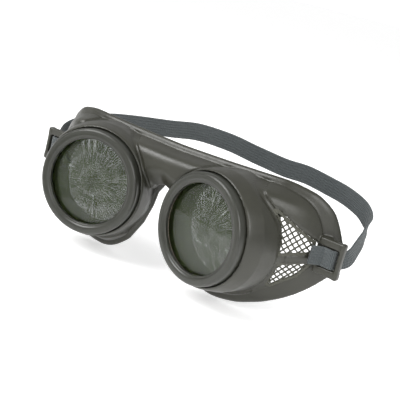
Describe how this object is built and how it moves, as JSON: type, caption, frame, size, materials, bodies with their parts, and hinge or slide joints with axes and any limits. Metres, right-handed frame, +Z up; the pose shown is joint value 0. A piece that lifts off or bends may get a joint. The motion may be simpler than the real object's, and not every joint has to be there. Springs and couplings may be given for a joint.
{
  "type": "welding goggles",
  "caption": "Soft cup goggles with screw rings holding round shade filters, meshed side vents and an elastic headband.",
  "frame": {"origin": "on the ground under the middle of the whole object, headband included", "axes": "X across the face with +X to the wearer's left, -Y the way the lenses look, +Z up"},
  "size_m": [0.2052, 0.0686, 0.081],
  "materials": {
    "mask": "satin soft PVC, dark olive grey",
    "ring": "satin moulded PVC, dark olive grey",
    "insert": "moulded hard plastic, dark",
    "screen": "moulded netting, dark olive",
    "washer": "pressed fibre",
    "gasket": "matte",
    "clear_glass": "polished clear",
    "shade_glass": "polished dark green",
    "strap": "woven elastic, charcoal"
  },
  "bodies": {
    "mask": {"mask_body": "mask", "headband": "strap", "left_cover_glass": "clear_glass", "left_shade_filter": "shade_glass", "left_backing_glass": "clear_glass", "left_seat_gasket": "gasket", "left_thread_insert": "insert", "left_upper_vent_screen": "screen", "left_lower_vent_screen": "screen", "right_cover_glass": "clear_glass", "right_shade_filter": "shade_glass", "right_backing_glass": "clear_glass", "right_seat_gasket": "gasket", "right_thread_insert": "insert", "right_upper_vent_screen": "screen", "right_lower_vent_screen": "screen"},
    "left_washer": {"left_slip_washer": "washer"},
    "left_ring": {"left_lens_ring": "ring"},
    "right_washer": {"right_slip_washer": "washer"},
    "right_ring": {"right_lens_ring": "ring"}
  },
  "joints": [
    {"name": "left_ring_travel", "type": "slide", "parent": "mask", "child": "left_washer", "axis": [-0.2079, -0.9781, 0], "range_m": [0, 0.009]},
    {"name": "left_ring_turn", "type": "hinge", "parent": "left_washer", "child": "left_ring", "pos_m": [0.0367, -0.0289, 0.0405], "axis": [-0.2079, -0.9781, 0], "range_deg": [0, 1080]},
    {"name": "right_ring_travel", "type": "slide", "parent": "mask", "child": "right_washer", "axis": [0.2079, -0.9781, 0], "range_m": [0, 0.009]},
    {"name": "right_ring_turn", "type": "hinge", "parent": "right_washer", "child": "right_ring", "pos_m": [-0.0367, -0.0289, 0.0405], "axis": [0.2079, -0.9781, 0], "range_deg": [0, 1080]}
  ],
  "couplings": [
    {"joint": "left_ring_travel", "follows": "left_ring_turn", "m_per_rad": 0.00047746},
    {"joint": "right_ring_travel", "follows": "right_ring_turn", "m_per_rad": 0.00047746}
  ]
}
